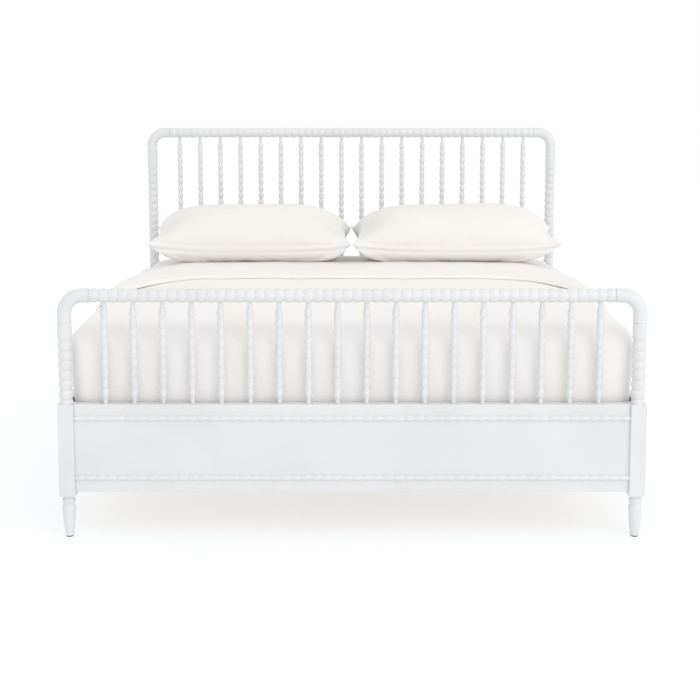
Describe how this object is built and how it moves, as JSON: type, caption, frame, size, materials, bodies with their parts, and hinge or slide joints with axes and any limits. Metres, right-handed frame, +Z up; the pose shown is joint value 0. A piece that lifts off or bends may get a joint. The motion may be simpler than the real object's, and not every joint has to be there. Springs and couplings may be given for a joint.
{
  "type": "bed",
  "caption": "King-size bed with bobbin-turned posts, rails and spindles in its tall headboard and low footboard, a slatted base, mattress, turned-down sheet and pillows.",
  "frame": {"origin": "on the floor, at the middle of the bed's footprint", "axes": "+X to the right seen from the foot of the bed, +Y from the footboard to the headboard, +Z up"},
  "size_m": [2, 2.149, 1.3222],
  "materials": {
    "white_paint": "satin",
    "bare_pine": "matte",
    "zinc_steel": "satin",
    "black_nylon": "matte",
    "mattress_cloth": "matte",
    "sheet_cloth": "matte",
    "pillow_cloth": "matte"
  },
  "bodies": {
    "bed_frame": {"beam_hanger_foot": "zinc_steel", "beam_hanger_head": "zinc_steel", "centre_beam": "bare_pine", "centre_leg_foot": "bare_pine", "centre_leg_head": "bare_pine", "centre_leg_middle": "bare_pine", "elbow_dowels": "bare_pine", "foot_cross_rail": "bare_pine", "foot_elbow_left": "white_paint", "foot_elbow_right": "white_paint", "foot_lower_moulding": "white_paint", "foot_lower_rail": "white_paint", "foot_panel": "white_paint", "foot_post_left": "white_paint", "foot_post_right": "white_paint", "foot_spindles": "white_paint", "foot_top_rail": "white_paint", "foot_upper_moulding": "white_paint", "foot_upper_rail": "white_paint", "head_cross_rail": "bare_pine", "head_elbow_left": "white_paint", "head_elbow_right": "white_paint", "head_lower_rail": "white_paint", "head_panel": "white_paint", "head_post_left": "white_paint", "head_post_right": "white_paint", "head_spindles": "white_paint", "head_top_rail": "white_paint", "head_upper_rail": "white_paint", "leg_inserts": "zinc_steel", "leg_screws": "zinc_steel", "post_glides": "black_nylon", "post_slot_plates": "zinc_steel", "rail_hook_plates": "zinc_steel", "side_rail_left": "white_paint", "side_rail_right": "white_paint", "slat_01": "bare_pine", "slat_02": "bare_pine", "slat_03": "bare_pine", "slat_04": "bare_pine", "slat_05": "bare_pine", "slat_06": "bare_pine", "slat_07": "bare_pine", "slat_08": "bare_pine", "slat_09": "bare_pine", "slat_10": "bare_pine", "slat_11": "bare_pine", "slat_12": "bare_pine", "slat_cleat_left": "bare_pine", "slat_cleat_right": "bare_pine", "wood_screws": "zinc_steel"},
    "mattress": {"mattress": "mattress_cloth", "top_sheet": "sheet_cloth"},
    "pillow_left": {"pillow_left": "pillow_cloth"},
    "pillow_right": {"pillow_right": "pillow_cloth"},
    "leveller_foot": {"leveller_foot": "black_nylon"},
    "leveller_middle": {"leveller_middle": "black_nylon"},
    "leveller_head": {"leveller_head": "black_nylon"}
  },
  "joints": [
    {"name": "mattress_lift", "type": "slide", "parent": "bed_frame", "child": "mattress", "axis": [0, 0, 1], "range_m": [0, 0.55]},
    {"name": "pillow_left_lift", "type": "slide", "parent": "mattress", "child": "pillow_left", "axis": [0, 0, 1], "range_m": [0, 0.35]},
    {"name": "pillow_right_lift", "type": "slide", "parent": "mattress", "child": "pillow_right", "axis": [0, 0, 1], "range_m": [0, 0.35]},
    {"name": "leveller_foot_screw", "type": "slide", "parent": "bed_frame", "child": "leveller_foot", "axis": [0, 0, 1], "range_m": [-0.008, 0.01]},
    {"name": "leveller_middle_screw", "type": "slide", "parent": "bed_frame", "child": "leveller_middle", "axis": [0, 0, 1], "range_m": [-0.008, 0.01]},
    {"name": "leveller_head_screw", "type": "slide", "parent": "bed_frame", "child": "leveller_head", "axis": [0, 0, 1], "range_m": [-0.008, 0.01]}
  ]
}
